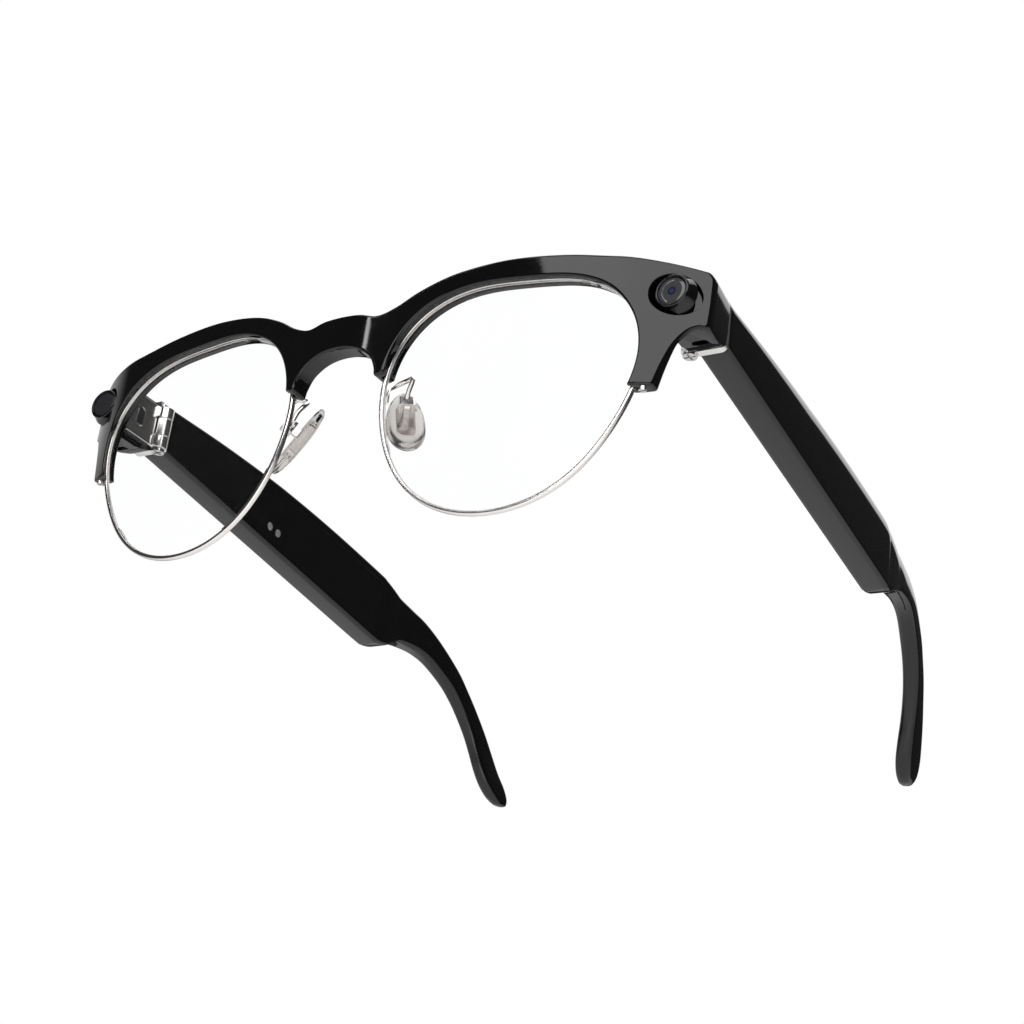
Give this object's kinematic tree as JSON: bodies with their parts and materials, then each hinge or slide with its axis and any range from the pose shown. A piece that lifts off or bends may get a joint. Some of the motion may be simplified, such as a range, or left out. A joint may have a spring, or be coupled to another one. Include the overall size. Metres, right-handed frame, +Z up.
{
  "type": "smart glasses",
  "caption": "Browline smart glasses: black brow bar over thin silver rims, corner camera and light, rocking nose pads, thick folding temples with electronics, ear tips and a press button.",
  "frame": {"origin": "middle of the open glasses at table level: they stand on the bottoms of the rims and the ends of the ear tips", "axes": "+Z up, the front of the glasses faces -Y, the open temples run towards +Y, and the wearer's left is +X"},
  "size_m": [0.1396, 0.1592, 0.05],
  "materials": {
    "black_acetate": "polished black acetate",
    "flex_cable": "amber polyimide film",
    "dark_screw": "black coated screws",
    "rim_metal": "bright silver, polished",
    "lens_glass": "clear lens",
    "screw_metal": "bright steel screws",
    "barrel_black": "polished black barrel",
    "window_glass": "dark camera window, smooth",
    "module_black": "black camera module",
    "light_window": "dark grey light window",
    "circuit_green": "green circuit board",
    "mic_mesh": "black acoustic mesh",
    "matte_black": "satin black plastic",
    "hinge_metal": "silver hinge, satin",
    "clear_silicone": "clear soft silicone",
    "insert_metal": "thin silver insert",
    "core_metal": "steel core wire",
    "battery_foil": "pouch cell foil",
    "speaker_black": "black speaker box",
    "contact_metal": "plated contacts",
    "button_black": "black button cap",
    "switch_metal": "tact switch can"
  },
  "bodies": {
    "front": {"brow_front": "black_acetate", "brow_back": "black_acetate", "front_flex": "flex_cable", "brow_screws": "dark_screw", "rim_left": "rim_metal", "rim_right": "rim_metal", "lens_left": "lens_glass", "lens_right": "lens_glass", "rim_locks": "screw_metal", "camera_barrel": "barrel_black", "camera_window": "window_glass", "camera_module": "module_black", "light_barrel": "barrel_black", "light_window": "light_window", "light_board": "circuit_green", "microphones": "mic_mesh", "endpiece_cover_left": "matte_black", "endpiece_cover_right": "matte_black", "hinge_bracket_left": "hinge_metal", "hinge_bracket_right": "hinge_metal", "hinge_screw_left": "screw_metal", "hinge_screw_right": "screw_metal", "pad_arm_left": "rim_metal", "pad_arm_right": "rim_metal", "pad_screws": "screw_metal"},
    "nose_pad_left": {"pad_left": "clear_silicone", "pad_insert_left": "insert_metal"},
    "nose_pad_right": {"pad_right": "clear_silicone", "pad_insert_right": "insert_metal"},
    "temple_left": {"temple_plate_left": "hinge_metal", "temple_shell_left": "black_acetate", "temple_cover_left": "matte_black", "ear_tip_left": "black_acetate", "ear_core_left": "core_metal", "battery_left": "battery_foil", "circuit_board_left": "circuit_green", "speaker_left": "speaker_black"},
    "temple_right": {"temple_plate_right": "hinge_metal", "temple_shell_right": "black_acetate", "temple_cover_right": "matte_black", "ear_tip_right": "black_acetate", "ear_core_right": "core_metal", "battery_right": "battery_foil", "circuit_board_right": "circuit_green", "speaker_right": "speaker_black", "charging_contacts": "contact_metal", "button_switch": "switch_metal"},
    "capture_button": {"capture_button": "button_black"}
  },
  "joints": [
    {"name": "temple_left_fold", "type": "hinge", "parent": "front", "child": "temple_left", "pos_m": [0.0612, -0.05726, 0.04045], "axis": [0, 0, 1], "range_deg": [0, 90]},
    {"name": "temple_right_fold", "type": "hinge", "parent": "front", "child": "temple_right", "pos_m": [-0.0612, -0.05726, 0.04045], "axis": [0, 0, -1], "range_deg": [0, 74]},
    {"name": "pad_left_rock", "type": "hinge", "parent": "front", "child": "nose_pad_left", "pos_m": [0.01314, -0.07283, 0.02523], "axis": [0.7714, 0.6246, 0.1219], "range_deg": [-8, 8]},
    {"name": "pad_right_rock", "type": "hinge", "parent": "front", "child": "nose_pad_right", "pos_m": [-0.01314, -0.07283, 0.02523], "axis": [0.7714, -0.6246, -0.1219], "range_deg": [-8, 8]},
    {"name": "capture_press", "type": "slide", "parent": "temple_right", "child": "capture_button", "axis": [0, -0.0225, -0.9997], "range_m": [0, 0.0006], "stiffness_N_per_m": 1500, "springref_m": -0.0003}
  ]
}
